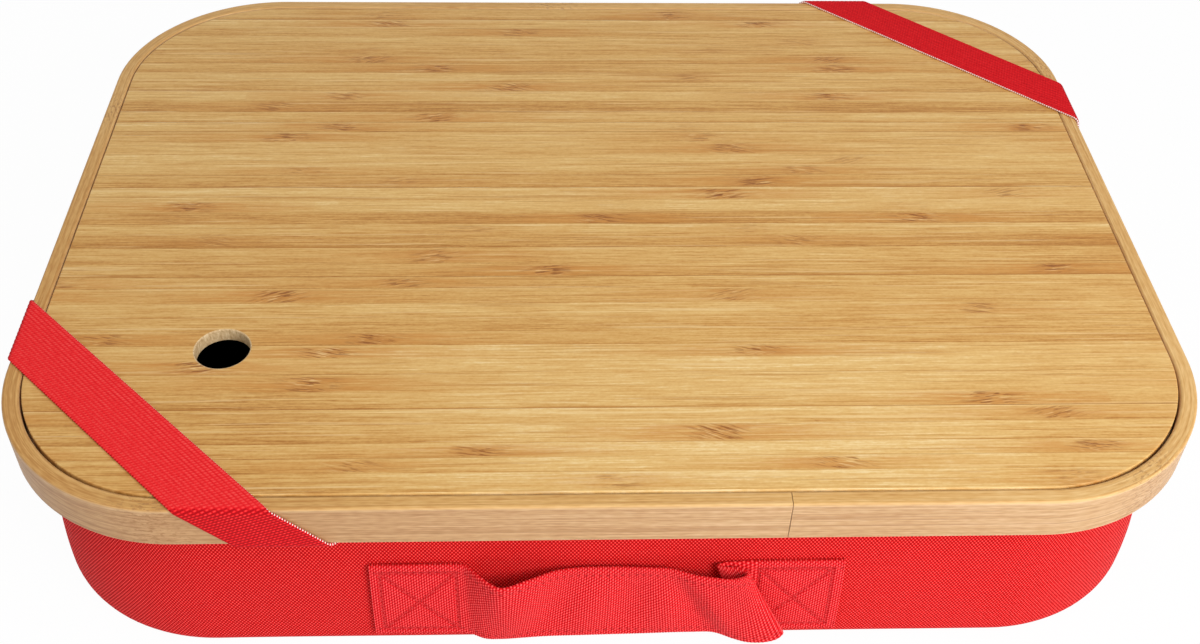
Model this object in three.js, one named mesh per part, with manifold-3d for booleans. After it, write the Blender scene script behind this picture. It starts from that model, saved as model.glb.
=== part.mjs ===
// A bamboo-topped lap desk with storage.
// A loose bamboo board lies in a bent bamboo rim, over a soft moulded tub with a webbing carry handle.
// Two elastic straps cross opposite corners and hold the board down.
// Millimetres, +Z up. The origin is the middle of the tub's underside, +X to the right and +Y to the back.

import * as THREE from 'three';
import { mergeVertices } from 'three/addons/utils/BufferGeometryUtils.js';
import Module from 'manifold-3d';

const wasm = await Module();
wasm.setup();

// Overall
const deskWidth = 430;
const deskDepth = 318;
const deskHeight = 84; // floor to the rim's top
const cornerRadius = 67.5; // plan radius of the rim's outer face
const cornerSteps = 10; // facets in each quarter turn
const touchGap = 0.3; // between pieces that touch

// Lid board
const lidThickness = 5.5;
const lidGap = 0.5; // shadow line between board and rim
const lidEdgeRound = 0.5;
const lidCornerEase = 1; // added to the plan radius, so the gap widens in the corners
const fingerHoleDiameter = 20;
const fingerHoleFromLeft = 75; // to the hole's middle, from the rim's outer face
const fingerHoleFromFront = 75.6;

// Rim, bent from one strip with a butt joint at the front
const rimWidth = 6;
const rimHeight = 18;
const rimRound = 1; // rounded arris
const rimRoundSteps = 3;
const rimJointX = 59.6;
const rimJointGap = 0.4;

// Ledge strip glued inside the rim, which carries the board
const ledgeWidth = 18;

// Tub, a moulded foam tray faced with cloth
const tubTopInset = 12; // from the rim's outer face, at the rim
const tubBellyInset = 4.5; // from the rim's outer face, where the wall swells most
const tubFootReach = 11; // rounded foot of the wall, across
const tubFootHeight = 7; // rounded foot of the wall, up
const tubCornerEase = 5; // added to the plan radius
const tubWall = 6;
const tubFlange = 2.5; // pressed thin where it turns in under the ledge
const tubFlangeRound = 1.5;
const tubWallSteps = 6;
const tubFootSteps = 4;
const liningThickness = 0.8;
const stiffenerThickness = 2;

// Staples
const stapleCrown = 10;
const stapleLeg = 9;
const stapleWire = 1;
const stapleClearance = 0.3;
const tubStaplesLong = 4; // on each long side
const tubStaplesShort = 2; // on each short side
const tubStapleEnd = 28; // from the end of a straight side to its first staple

// Elastic straps
const frontStrapWidth = 22.4;
const rearStrapWidth = 20.5; // drawn tighter, so narrower
const strapThickness = 1;
const strapBendSteps = 4;
const frontStrapLandX = 18.2; // from the corner curve's end to the strap's middle, along the front
const frontStrapLandY = 18.2; // the same along the left side
const rearStrapLandX = 26.6; // the same along the back
const rearStrapLandY = 18.2; // the same along the right side
const strapTuckClearance = 1.5; // between a tucked end and the tub

// Carry handle, one webbing sewn to the tub's front at both ends
const webbingWidth = 35;
const webbingThickness = 1.5;
const webbingTopZ = 44.4;
const handleSpan = 106; // free length between the sewn ends
const handleMiddleX = -0.6;
const loopDepth = 10; // how far the slack stands off the wall
const patchLength = 31;
const patchSteps = 8;
const loopSteps = 72;
const loopAcross = 4;

// Levels
const rimBottomZ = deskHeight - rimHeight;
const lidBottomZ = deskHeight - lidThickness;
const ledgeTopZ = lidBottomZ - touchGap;
const flangeTopZ = rimBottomZ - touchGap;
const flangeBottomZ = flangeTopZ - tubFlange;
const liningTopZ = flangeBottomZ - touchGap;
const stiffenerBottomZ = tubWall + touchGap;
const liningBottomZ = stiffenerBottomZ + stiffenerThickness + touchGap;

// Insets from the rim's outer face
const ledgeOuterInset = rimWidth + touchGap;
const ledgeInnerInset = ledgeOuterInset + ledgeWidth;
const liningInset = tubWall + touchGap;
const strapTuck = tubTopInset - strapTuckClearance;

const bamboo = { color: 0xd9a866, roughness: 0.5, metalness: 0 };
const rimBamboo = { color: 0xdcb07c, roughness: 0.5, metalness: 0 };
const redCloth = { color: 0xd61f2b, roughness: 0.85, metalness: 0 };
const redElastic = { color: 0xcf1f2a, roughness: 0.8, metalness: 0 };
const redWebbing = { color: 0xdb2a35, roughness: 0.8, metalness: 0 };
const blackCloth = { color: 0x161616, roughness: 0.9, metalness: 0 };
const hardboard = { color: 0x6b4f38, roughness: 0.8, metalness: 0 };
const steel = { color: 0xb4b4b4, roughness: 0.35, metalness: 1 };

const lapDesk = new THREE.Group();

function addPiece(name, geometry, finish, parent = lapDesk) {
  const mesh = new THREE.Mesh(geometry, new THREE.MeshStandardMaterial(finish));
  mesh.name = name;
  parent.add(mesh);
  return mesh;
}

// Joins closed sections of equal length into one solid, capped at both ends or run round in a ring.
function skin(sections, ring = false) {
  const count = sections[0].length;
  const vertices = sections.flat();
  const triangles = [];
  const spans = ring ? sections.length : sections.length - 1;
  for (let i = 0; i < spans; i++) {
    const here = i * count;
    const next = ((i + 1) % sections.length) * count;
    for (let j = 0; j < count; j++) {
      const k = (j + 1) % count;
      triangles.push(here + j, here + k, next + k);
      triangles.push(here + j, next + k, next + j);
    }
  }
  if (!ring) {
    const last = (sections.length - 1) * count;
    for (let j = 1; j < count - 1; j++) {
      triangles.push(0, j + 1, j);
      triangles.push(last, last + j, last + j + 1);
    }
  }
  const geometry = new THREE.BufferGeometry().setFromPoints(vertices);
  geometry.setIndex(signedVolume(vertices, triangles) > 0 ? triangles : triangles.reverse());
  geometry.computeVertexNormals();
  return geometry;
}

function signedVolume(vertices, triangles) {
  const cross = new THREE.Vector3();
  let volume = 0;
  for (let i = 0; i < triangles.length; i += 3) {
    const [a, b, c] = triangles.slice(i, i + 3).map((index) => vertices[index]);
    volume += a.dot(cross.crossVectors(b, c)) / 6;
  }
  return volume;
}

function toSolid(geometry) {
  const bare = geometry.clone();
  bare.deleteAttribute('normal');
  bare.deleteAttribute('uv');
  const merged = mergeVertices(bare);
  return new wasm.Manifold(new wasm.Mesh({
    numProp: 3,
    vertProperties: Float32Array.from(merged.attributes.position.array),
    triVerts: Uint32Array.from(merged.index.array),
  }));
}

function cut(geometry, tools) {
  const solid = tools.reduce((body, tool) => body.subtract(toSolid(tool)), toSolid(geometry));
  const { vertProperties, triVerts } = solid.getMesh();
  const result = new THREE.BufferGeometry();
  result.setAttribute('position', new THREE.BufferAttribute(Float32Array.from(vertProperties), 3));
  result.setIndex(Array.from(triVerts));
  result.computeVertexNormals();
  return result;
}

// Stations round the plan: each has the middle of its curve and the outward direction.
// A point at some inset lies outward from the middle by the plan radius less that inset.
function planStations(radius) {
  const middleX = deskWidth / 2 - radius;
  const middleY = deskDepth / 2 - radius;
  const stations = [];
  for (let quarter = 0; quarter < 4; quarter++) {
    const signX = quarter === 0 || quarter === 3 ? 1 : -1;
    const signY = quarter < 2 ? 1 : -1;
    for (let k = 0; k <= cornerSteps; k++) {
      const angle = (Math.PI / 2) * (quarter + k / cornerSteps);
      stations.push({
        middle: new THREE.Vector2(signX * middleX, signY * middleY),
        out: new THREE.Vector2(Math.cos(angle), Math.sin(angle)),
      });
    }
  }
  return stations;
}

function planPoint(station, radius, inset, z) {
  const reach = radius - inset;
  return new THREE.Vector3(
    station.middle.x + station.out.x * reach,
    station.middle.y + station.out.y * reach,
    z,
  );
}

function planRing(radius, inset, z) {
  return planStations(radius).map((station) => planPoint(station, radius, inset, z));
}

// Lid board: a round-cornered slab with a finger hole
function roundedOutline(target, halfX, halfY, radius) {
  target.moveTo(halfX, -halfY + radius);
  target.absarc(halfX - radius, halfY - radius, radius, 0, Math.PI / 2);
  target.absarc(-halfX + radius, halfY - radius, radius, Math.PI / 2, Math.PI);
  target.absarc(-halfX + radius, -halfY + radius, radius, Math.PI, 1.5 * Math.PI);
  target.absarc(halfX - radius, -halfY + radius, radius, 1.5 * Math.PI, 2 * Math.PI);
  return target;
}

function slab(shape, thickness, edgeRound) {
  const geometry = new THREE.ExtrudeGeometry(shape, {
    depth: thickness - 2 * edgeRound,
    bevelEnabled: true,
    bevelThickness: edgeRound,
    bevelSize: edgeRound,
    bevelOffset: -edgeRound,
    bevelSegments: 2,
    curveSegments: cornerSteps / 2,
  });
  return geometry.translate(0, 0, edgeRound);
}

function lidBoard() {
  const inset = rimWidth + lidGap;
  const shape = roundedOutline(
    new THREE.Shape(), deskWidth / 2 - inset, deskDepth / 2 - inset, cornerRadius + lidCornerEase - inset,
  );
  const holeX = -deskWidth / 2 + fingerHoleFromLeft;
  const holeY = -deskDepth / 2 + fingerHoleFromFront;
  const hole = new THREE.Path();
  for (let quarter = 0; quarter < 4; quarter++) {
    const start = (quarter * Math.PI) / 2;
    hole.absarc(holeX, holeY, fingerHoleDiameter / 2, start, start + Math.PI / 2);
  }
  shape.holes.push(hole);
  return slab(shape, lidThickness, lidEdgeRound);
}

const lid = addPiece('lid_board', lidBoard(), bamboo);
lid.position.z = lidBottomZ;

// Rim band: a rounded strip bent round the plan, open at the butt joint
function rimProfile() {
  const profile = [];
  const corners = [
    { inset: rimRound, z: deskHeight - rimRound, start: 0.5 },
    { inset: rimRound, z: rimBottomZ + rimRound, start: 1 },
    { inset: rimWidth - rimRound, z: rimBottomZ + rimRound, start: 1.5 },
    { inset: rimWidth - rimRound, z: deskHeight - rimRound, start: 2 },
  ];
  for (const corner of corners) {
    for (let k = 0; k <= rimRoundSteps; k++) {
      const angle = Math.PI * (corner.start + (0.5 * k) / rimRoundSteps);
      profile.push({
        inset: corner.inset + rimRound * Math.cos(angle),
        z: corner.z + rimRound * Math.sin(angle),
      });
    }
  }
  return profile;
}

function rimBand() {
  const front = (x) => ({
    middle: new THREE.Vector2(x, -deskDepth / 2 + cornerRadius),
    out: new THREE.Vector2(0, -1),
  });
  const round = planStations(cornerRadius);
  const lastLeftCorner = 3 * (cornerSteps + 1);
  const path = [
    front(rimJointX + rimJointGap / 2),
    ...round.slice(lastLeftCorner),
    ...round.slice(0, lastLeftCorner),
    front(rimJointX - rimJointGap / 2),
  ];
  const profile = rimProfile();
  return skin(path.map((station) => (
    profile.map(({ inset, z }) => planPoint(station, cornerRadius, inset, z))
  )));
}

addPiece('rim_band', rimBand(), rimBamboo);

// Staples: a crown with two legs, driven up from below
function stapleGeometry() {
  const half = stapleCrown / 2;
  const shape = new THREE.Shape([
    new THREE.Vector2(-half, 0),
    new THREE.Vector2(half, 0),
    new THREE.Vector2(half, stapleLeg),
    new THREE.Vector2(half - stapleWire, stapleLeg),
    new THREE.Vector2(half - stapleWire, stapleWire),
    new THREE.Vector2(-half + stapleWire, stapleWire),
    new THREE.Vector2(-half + stapleWire, stapleLeg),
    new THREE.Vector2(-half, stapleLeg),
  ]);
  const geometry = new THREE.ExtrudeGeometry(shape, { depth: stapleWire, bevelEnabled: false });
  return geometry.rotateX(Math.PI / 2).translate(0, stapleWire / 2, 0);
}

// Slots for one staple's two legs, in the place that its matrix gives
function stapleSlots(matrix) {
  const side = stapleWire + 2 * stapleClearance;
  const low = stapleWire;
  const high = stapleLeg + stapleClearance;
  return [-1, 1].map((sign) => {
    const slot = new THREE.BoxGeometry(side, side, high - low);
    slot.translate((sign * (stapleCrown - stapleWire)) / 2, 0, (low + high) / 2);
    return slot.applyMatrix4(matrix);
  });
}

function staplePlace(x, y, crownTopZ, turn) {
  const place = new THREE.Matrix4().makeRotationZ(turn);
  return place.setPosition(x, y, crownTopZ - touchGap - stapleWire);
}

function addStaple(name, place, parent = lapDesk) {
  const mesh = addPiece(name, stapleGeometry(), steel, parent);
  mesh.position.setFromMatrixPosition(place);
  mesh.rotation.setFromRotationMatrix(place);
}

// Evenly spread places on a straight side, from one end distance to the other
function spread(count, straight, end) {
  const first = -straight / 2 + end;
  const pitch = (straight - 2 * end) / (count - 1);
  return Array.from({ length: count }, (_, i) => first + i * pitch);
}

function tubStaplePlaces() {
  const inset = (tubTopInset + liningInset + ledgeInnerInset) / 2;
  const sideX = deskWidth / 2 - inset;
  const sideY = deskDepth / 2 - inset;
  const crownTopZ = liningTopZ - liningThickness;
  const straightX = deskWidth - 2 * cornerRadius;
  const straightY = deskDepth - 2 * cornerRadius;
  const places = [];
  for (const sign of [-1, 1]) {
    for (const x of spread(tubStaplesLong, straightX, tubStapleEnd)) {
      places.push(staplePlace(x, sign * sideY, crownTopZ, 0));
    }
    for (const y of spread(tubStaplesShort, straightY, tubStapleEnd)) {
      places.push(staplePlace(sign * sideX, y, crownTopZ, Math.PI / 2));
    }
  }
  return places;
}

const tubStaples = tubStaplePlaces();
const tubSlots = tubStaples.flatMap(stapleSlots);

// Tub: the wall swells from the rim down to a rounded foot
const tubRadius = cornerRadius + tubCornerEase;

function wallInset(z) {
  const drop = THREE.MathUtils.clamp((flangeTopZ - z) / (flangeTopZ - tubFootHeight), 0, 1);
  return tubTopInset + (tubBellyInset - tubTopInset) * Math.sin((drop * Math.PI) / 2);
}

// Tray surface at a depth into the wall, from its floor out over the foot and up to its top
function trayProfile(depth, floorZ, topZ) {
  const footZ = floorZ + tubFootHeight;
  const footInset = wallInset(footZ) + depth;
  const profile = [];
  for (let k = 0; k < tubFootSteps; k++) {
    const angle = (Math.PI / 2) * (1 - k / tubFootSteps);
    profile.push({
      inset: footInset + tubFootReach * (1 - Math.cos(angle)),
      z: floorZ + tubFootHeight * (1 - Math.sin(angle)),
    });
  }
  for (let k = 0; k <= tubWallSteps; k++) {
    const z = footZ + ((topZ - footZ) * k) / tubWallSteps;
    profile.push({ inset: wallInset(z) + depth, z });
  }
  return profile;
}

function tray(outerProfile, edgeProfile, innerProfile) {
  const profile = [...outerProfile, ...edgeProfile, ...innerProfile.reverse()];
  return skin(profile.map(({ inset, z }) => planRing(tubRadius, inset, z)));
}

function tubShell() {
  const shell = tray(
    trayProfile(0, 0, flangeTopZ - tubFlangeRound),
    [
      { inset: tubTopInset + tubFlangeRound, z: flangeTopZ },
      { inset: ledgeInnerInset, z: flangeTopZ },
      { inset: ledgeInnerInset, z: flangeBottomZ },
    ],
    trayProfile(tubWall, tubWall, flangeBottomZ),
  );
  return cut(shell, tubSlots);
}

function tubLining() {
  const innerDepth = liningInset + liningThickness;
  const lining = tray(
    trayProfile(liningInset, liningBottomZ, liningTopZ),
    [
      { inset: ledgeInnerInset, z: liningTopZ },
      { inset: ledgeInnerInset, z: liningTopZ - liningThickness },
    ],
    trayProfile(innerDepth, liningBottomZ + liningThickness, liningTopZ - liningThickness),
  );
  return cut(lining, tubSlots);
}

function stiffener() {
  const inset = tubBellyInset + tubWall + tubFootReach + touchGap;
  const rings = [stiffenerBottomZ, stiffenerBottomZ + stiffenerThickness];
  return skin(rings.map((z) => planRing(tubRadius, inset, z)));
}

addPiece('tub_shell', tubShell(), redCloth);
addPiece('tub_lining', tubLining(), blackCloth);
addPiece('base_stiffener', stiffener(), hardboard);
tubStaples.forEach((place, i) => addStaple(`tub_staple_${i + 1}`, place));

// Elastic straps: each lies flat across a corner, folds down over the rim's faces and tucks in under it.
// Made for the front left corner, in which the fold lines lie along the front and the left side.
function wrapStations() {
  const bend = rimRound + touchGap + strapThickness / 2;
  const arc = (Math.PI / 2) * bend;
  const stations = [];
  const turn = (middleZ, startAngle, flatStart) => {
    for (let k = 0; k <= strapBendSteps; k++) {
      const share = k / strapBendSteps;
      const angle = startAngle - (Math.PI / 2) * share;
      const out = Math.cos(angle);
      const up = Math.sin(angle);
      stations.push({
        out: -rimRound + bend * out,
        z: middleZ + bend * up,
        normalOut: out,
        normalZ: up,
        flat: flatStart + arc * share,
      });
    }
  };
  turn(deskHeight - rimRound, Math.PI / 2, -rimRound);
  const bottomTurn = -rimRound + arc + rimHeight - 2 * rimRound;
  turn(rimBottomZ + rimRound, 0, bottomTurn);
  const lastTurn = stations[stations.length - 1];
  stations.push({ ...lastTurn, out: -strapTuck, flat: lastTurn.flat + strapTuck - rimRound });
  return stations;
}

// Where a line of the strap lies along its fold, at a flat distance past the fold and an offset to the corner
function alongFold(reachHere, reachThere, flat, offset) {
  const length = Math.hypot(reachHere, reachThere);
  return reachHere + (flat * reachHere - offset * length) / reachThere;
}

function strapGeometry(reachX, reachY, width) {
  const stations = wrapStations();
  const corners = [
    { offset: width / 2, side: -1 },
    { offset: width / 2, side: 1 },
    { offset: -width / 2, side: 1 },
    { offset: -width / 2, side: -1 },
  ];
  const section = (station, onFront) => corners.map(({ offset, side }) => {
    const out = station.out + (side * station.normalOut * strapThickness) / 2;
    const z = station.z + (side * station.normalZ * strapThickness) / 2;
    const along = onFront
      ? alongFold(reachX, reachY, station.flat, offset)
      : alongFold(reachY, reachX, station.flat, offset);
    return onFront
      ? new THREE.Vector3(-deskWidth / 2 + along, -deskDepth / 2 - out, z)
      : new THREE.Vector3(-deskWidth / 2 - out, -deskDepth / 2 + along, z);
  });
  return skin([
    ...stations.toReversed().map((station) => section(station, false)),
    ...stations.map((station) => section(station, true)),
  ]);
}

// Places of the staples through a strap's two tucked ends, halfway between the rim and the end
function strapStaplePlaces(reachX, reachY) {
  const stations = wrapStations();
  const end = stations[stations.length - 1];
  const inset = (ledgeOuterInset + strapTuck) / 2;
  const flat = end.flat - (strapTuck - inset);
  const crownTopZ = end.z - strapThickness / 2;
  const x = -deskWidth / 2 + alongFold(reachX, reachY, flat, 0);
  const y = -deskDepth / 2 + alongFold(reachY, reachX, flat, 0);
  return [
    staplePlace(x, -deskDepth / 2 + inset, crownTopZ, 0),
    staplePlace(-deskWidth / 2 + inset, y, crownTopZ, Math.PI / 2),
  ];
}

const straps = [
  { name: 'front_strap', width: frontStrapWidth, landX: frontStrapLandX, landY: frontStrapLandY, turn: 0 },
  { name: 'rear_strap', width: rearStrapWidth, landX: rearStrapLandX, landY: rearStrapLandY, turn: Math.PI },
];
const strapSlots = [];
for (const { name, width, landX, landY, turn } of straps) {
  const reachX = cornerRadius + landX;
  const reachY = cornerRadius + landY;
  const places = strapStaplePlaces(reachX, reachY);
  const slots = places.flatMap(stapleSlots);
  const corner = new THREE.Group();
  corner.rotation.z = turn;
  addPiece(name, cut(strapGeometry(reachX, reachY, width), slots), redElastic, corner);
  places.forEach((place, i) => addStaple(`${name}_staple_${i + 1}`, place, corner));
  lapDesk.add(corner);
  strapSlots.push(...slots.map((slot) => slot.clone().rotateZ(turn)));
}

// Ledge ring: a square strip under the board's edge, with the staples' slots in its underside
function ledgeRing() {
  const profile = [
    { inset: ledgeOuterInset, z: rimBottomZ },
    { inset: ledgeInnerInset, z: rimBottomZ },
    { inset: ledgeInnerInset, z: ledgeTopZ },
    { inset: ledgeOuterInset, z: ledgeTopZ },
  ];
  const ring = skin(planStations(cornerRadius).map((station) => (
    profile.map(({ inset, z }) => planPoint(station, cornerRadius, inset, z))
  )), true);
  return cut(ring, [...tubSlots, ...strapSlots]);
}

addPiece('ledge_ring', ledgeRing(), bamboo);

// Carry handle: the sewn ends lie on the swollen front wall, and the slack loop stands off it
const webbingStandoff = touchGap + webbingThickness / 2;

function wallY(z) {
  return -deskDepth / 2 + wallInset(z);
}

function handlePatch(fromX) {
  const toX = fromX + patchLength;
  const outer = webbingStandoff + webbingThickness / 2;
  const sections = [];
  for (let k = 0; k <= patchSteps; k++) {
    const z = webbingTopZ - (webbingWidth * k) / patchSteps;
    const y = wallY(z);
    sections.push([
      new THREE.Vector3(fromX, y - touchGap, z),
      new THREE.Vector3(toX, y - touchGap, z),
      new THREE.Vector3(toX, y - outer, z),
      new THREE.Vector3(fromX, y - outer, z),
    ]);
  }
  return skin(sections);
}

// The slack webbing from left to right: a front layer, a fold at its right end, a layer back, a fold and
// a layer on the wall. For each edge: the place as a share of the free span, then the stand-off from the
// wall and the height gained, both as shares of the loop's depth.
const loopStations = {
  upper: [
    [0.028, 0.17, 0],
    [0.076, 0.66, 0],
    [0.1414, 1.12, -0.04],
    [0.239, 0.79, -0.02],
    [0.339, 0.42, 0.02],
    [0.539, 0.32, 0.03],
    [0.738, 0.52, 0],
    [0.836, 0.76, -0.02],
    [0.896, 0.87, -0.02],
    [0.935, 0.85, 0.03],
    [0.953, 0.79, 0.07],
    [0.959, 0.7, 0.1],
    [0.953, 0.58, 0.1],
    [0.922, 0.42, 0.04],
    [0.884, 0.35, 0.01],
    [0.866, 0.25, 0],
    [0.888, 0.15, 0],
  ],
  lower: [
    [0.035, 0.18, 0],
    [0.087, 0.4, 0],
    [0.14, 0.43, 0.02],
    [0.201, 0.4, 0.02],
    [0.315, 0.34, 0.03],
    [0.537, 0.31, 0.04],
    [0.774, 0.26, 0.04],
    [0.87, 0.33, 0.03],
    [0.935, 0.5, 0.03],
    [0.995, 0.72, 0.05],
    [1.05, 0.79, 0.09],
    [1.09, 0.73, 0.15],
    [1.106, 0.6, 0.2],
    [1.08, 0.47, 0.2],
    [1.02, 0.41, 0.12],
    [0.965, 0.29, 0.03],
    [0.975, 0.15, 0],
  ],
};

// One edge of the loop as a curve of place along the span, stand-off and height
function loopEdge(edge, edgeZ, fromX, span) {
  const points = loopStations[edge].map(([along, off, rise]) => (
    new THREE.Vector3(fromX + span * along, loopDepth * off, edgeZ + loopDepth * rise)
  ));
  const first = new THREE.Vector3(fromX, webbingStandoff, edgeZ);
  const last = new THREE.Vector3(fromX + span, webbingStandoff, edgeZ);
  return new THREE.CatmullRomCurve3([first, ...points, last]).getPoints(loopSteps);
}

function handleLoop(fromX, span) {
  const upper = loopEdge('upper', webbingTopZ, fromX, span);
  const lower = loopEdge('lower', webbingTopZ - webbingWidth, fromX, span);
  const middle = upper.map((top, i) => {
    return Array.from({ length: loopAcross + 1 }, (_, k) => {
      const { x, y: off, z } = top.clone().lerp(lower[i], k / loopAcross);
      return new THREE.Vector3(x, wallY(z) - off, z);
    });
  });
  return skin(middle.map((row, i) => {
    const before = middle[Math.max(i - 1, 0)];
    const after = middle[Math.min(i + 1, loopSteps)];
    const faces = row.map((_, k) => {
      const forward = after[k].clone().sub(before[k]);
      const across = row[Math.max(k - 1, 0)].clone().sub(row[Math.min(k + 1, loopAcross)]);
      return forward.cross(across).setLength(webbingThickness / 2);
    });
    const outside = row.map((point, k) => point.clone().add(faces[k]));
    const inside = row.map((point, k) => point.clone().sub(faces[k]));
    return [...outside, ...inside.reverse()];
  }));
}

const loopFromX = handleMiddleX - handleSpan / 2;
const loopToX = handleMiddleX + handleSpan / 2;
addPiece('handle_left_end', handlePatch(loopFromX - patchLength), redWebbing);
addPiece('handle_right_end', handlePatch(loopToX), redWebbing);
addPiece('handle_loop', handleLoop(loopFromX + touchGap, handleSpan - 2 * touchGap), redWebbing);

export default lapDesk;
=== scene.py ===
# Lap desk: a bamboo board in a bent bamboo rim, over a soft red tub with elastics and a carry handle.
# The dictionaries hold millimetres, as on a drawing. Meshes are in metres, in the frame's axes.
import bpy
import numpy as np
from mathutils import Matrix, Vector


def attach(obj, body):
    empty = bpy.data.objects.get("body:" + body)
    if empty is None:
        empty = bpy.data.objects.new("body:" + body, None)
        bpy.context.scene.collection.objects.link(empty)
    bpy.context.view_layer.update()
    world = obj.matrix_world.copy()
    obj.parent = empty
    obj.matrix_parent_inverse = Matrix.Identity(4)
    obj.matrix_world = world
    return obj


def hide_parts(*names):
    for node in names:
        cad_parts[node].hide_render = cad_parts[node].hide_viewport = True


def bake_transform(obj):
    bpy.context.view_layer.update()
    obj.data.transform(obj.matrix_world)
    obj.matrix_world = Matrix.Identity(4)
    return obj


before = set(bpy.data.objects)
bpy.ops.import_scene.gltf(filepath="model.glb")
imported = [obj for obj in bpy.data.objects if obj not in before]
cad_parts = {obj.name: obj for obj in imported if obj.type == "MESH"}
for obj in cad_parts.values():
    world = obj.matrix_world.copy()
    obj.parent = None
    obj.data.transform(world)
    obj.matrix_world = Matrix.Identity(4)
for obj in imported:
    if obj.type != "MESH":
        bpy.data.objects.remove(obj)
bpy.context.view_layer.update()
mm = 0.001
print("frame:", len(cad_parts), "nodes")

desk = dict(width=430, depth=318, height=84, cornerRadius=67.5)


# Arrays

def lastAxis(*parts):
    # the parts side by side on a new last axis
    return np.stack(np.broadcast_arrays(*parts), -1)


def between(first, last, share):
    return first * (1 - share) + last * share


def unit(vectors):
    return vectors / np.linalg.norm(vectors, axis=-1, keepdims=True)


def lengthAlong(points):
    return np.concatenate([[0], np.cumsum(np.linalg.norm(np.diff(points, axis=0), axis=1))])


def closedLength(profile):
    return lengthAlong(np.concatenate([profile, profile[:1]]))


# Meshes

def signedVolume(points, faces):
    # sum of the tetrahedra from the origin to the fan triangles of each face
    total = 0.0
    for face in faces:
        a = points[face[:, :1]]
        b = points[face[:, 1:-1]]
        c = points[face[:, 2:]]
        total += (a * np.cross(b, c)).sum() / 6
    return total


def placed(name, data):
    holder = bpy.data.objects.new(name, data)
    bpy.context.scene.collection.objects.link(holder)
    return holder


def gridPiece(name, points, uv, finishes, loopAlong=False, capped=True, rowFinish=None, marks=None):
    # points[s, i, j]: copy s, row i along it, column j round it; each cell of the grid is one face
    copies, rows, columns = points.shape[:3]
    i, j = np.meshgrid(np.arange(rows - (not loopAlong)), np.arange(columns), indexing="ij")
    here, ahead, nextJ = i * columns, (i + 1) % rows * columns, (j + 1) % columns
    cell = lastAxis(here + j, here + nextJ, ahead + nextJ, ahead + j)
    start = (np.arange(copies) * rows * columns)[:, None, None]
    quads = (cell.reshape(1, -1, 4) + start).reshape(-1, 4)
    quadUv = np.stack([uv[:, i, j], uv[:, i, j + 1], uv[:, i + 1, j + 1], uv[:, i + 1, j]], -2)
    groups, groupUvs = [quads], [quadUv.reshape(-1, 4, 2)]
    if capped:
        ring = np.arange(columns)
        groups.append((ring[::-1] + start).reshape(-1, columns))
        groups.append((ring + (rows - 1) * columns + start).reshape(-1, columns))
        groupUvs += [uv[:, 0, :columns][:, ::-1], uv[:, rows - 1, :columns]]
    flat = points.reshape(-1, 3)
    if signedVolume(flat, groups) < 0:
        groups = [group[:, ::-1] for group in groups]
        groupUvs = [group[:, ::-1] for group in groupUvs]
    mesh = bpy.data.meshes.new(name)
    mesh.from_pydata((flat * mm).tolist(), [], [face for group in groups for face in group.tolist()])
    corners = np.concatenate([group.reshape(-1, 2) for group in groupUvs]) * mm
    mesh.uv_layers.new(name="flat").data.foreach_set("uv", corners.astype(np.float32).ravel())
    # the caps are shaded flat, so that they don't bend the light on the faces beside them
    mesh.polygons.foreach_set("use_smooth", np.arange(len(mesh.polygons)) < len(quads))
    for finish in finishes:
        mesh.materials.append(finish)
    if rowFinish is not None:
        index = np.zeros(len(mesh.polygons), np.int32)
        index[:len(quads)] = np.tile(np.repeat(rowFinish, columns), copies)
        mesh.polygons.foreach_set("material_index", index)
    if marks is not None:
        mark = mesh.attributes.new("mark", "FLOAT", "POINT")
        mark.data.foreach_set("value", marks.astype(np.float32).ravel())
    mesh.update()
    print("piece:", name, len(mesh.polygons), "faces")
    return placed(name, mesh)


def planPath(radius, seamX=0, gap=0, cornerSteps=30, step=5, guard=0.2):
    # round the plan from the seam in the front edge: the middle of each curve, the outward direction, the length
    # an open seam has a guard row beside each end, which keeps the shading of the end out of the long faces
    halfX, halfY = desk["width"] / 2 - radius, desk["depth"] / 2 - radius
    turns = [(halfX, -halfY, -90), (halfX, halfY, 0), (-halfX, halfY, 90), (-halfX, -halfY, 180)]
    here = (seamX + gap / 2, -halfY, -90)
    end = (seamX - gap / 2, -halfY, 270)
    legs = [[here]]
    if gap:
        legs.append([(here[0] + guard, -halfY, -90)])
    for x, y, angle in turns:
        count = max(2, int(np.hypot(x - here[0], y - here[1]) // step))
        legs.append(np.linspace(here, (x, y, angle), count, endpoint=False)[1:])
        legs.append([(x, y, angle + 90 * k / cornerSteps) for k in range(cornerSteps + 1)])
        here = (x, y, angle + 90)
    count = int((end[0] + halfX) // step)
    legs.append(np.linspace(here, end, count, endpoint=False)[1:])
    if gap:
        legs.append([(end[0] - guard, -halfY, 270)])
    legs.append([end])
    rows = np.concatenate([np.asarray(leg, float).reshape(-1, 3) for leg in legs])
    turn = np.radians(rows[:, 2])
    out = lastAxis(np.cos(turn), np.sin(turn))
    return rows[:, :2], out, lengthAlong(rows[:, :2] + out * radius)


def carried(path, radius, profile):
    # a profile of (inset, z) carried round the plan: middle + outward * (radius - inset)
    middle, out = path[:2]
    flat = middle[:, None] + out[:, None] * (radius - profile[:, 0])[None, :, None]
    return lastAxis(flat[..., 0], flat[..., 1], profile[:, 1])


def pathUv(along, across):
    return lastAxis(along[:, None], across)[None]


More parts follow.
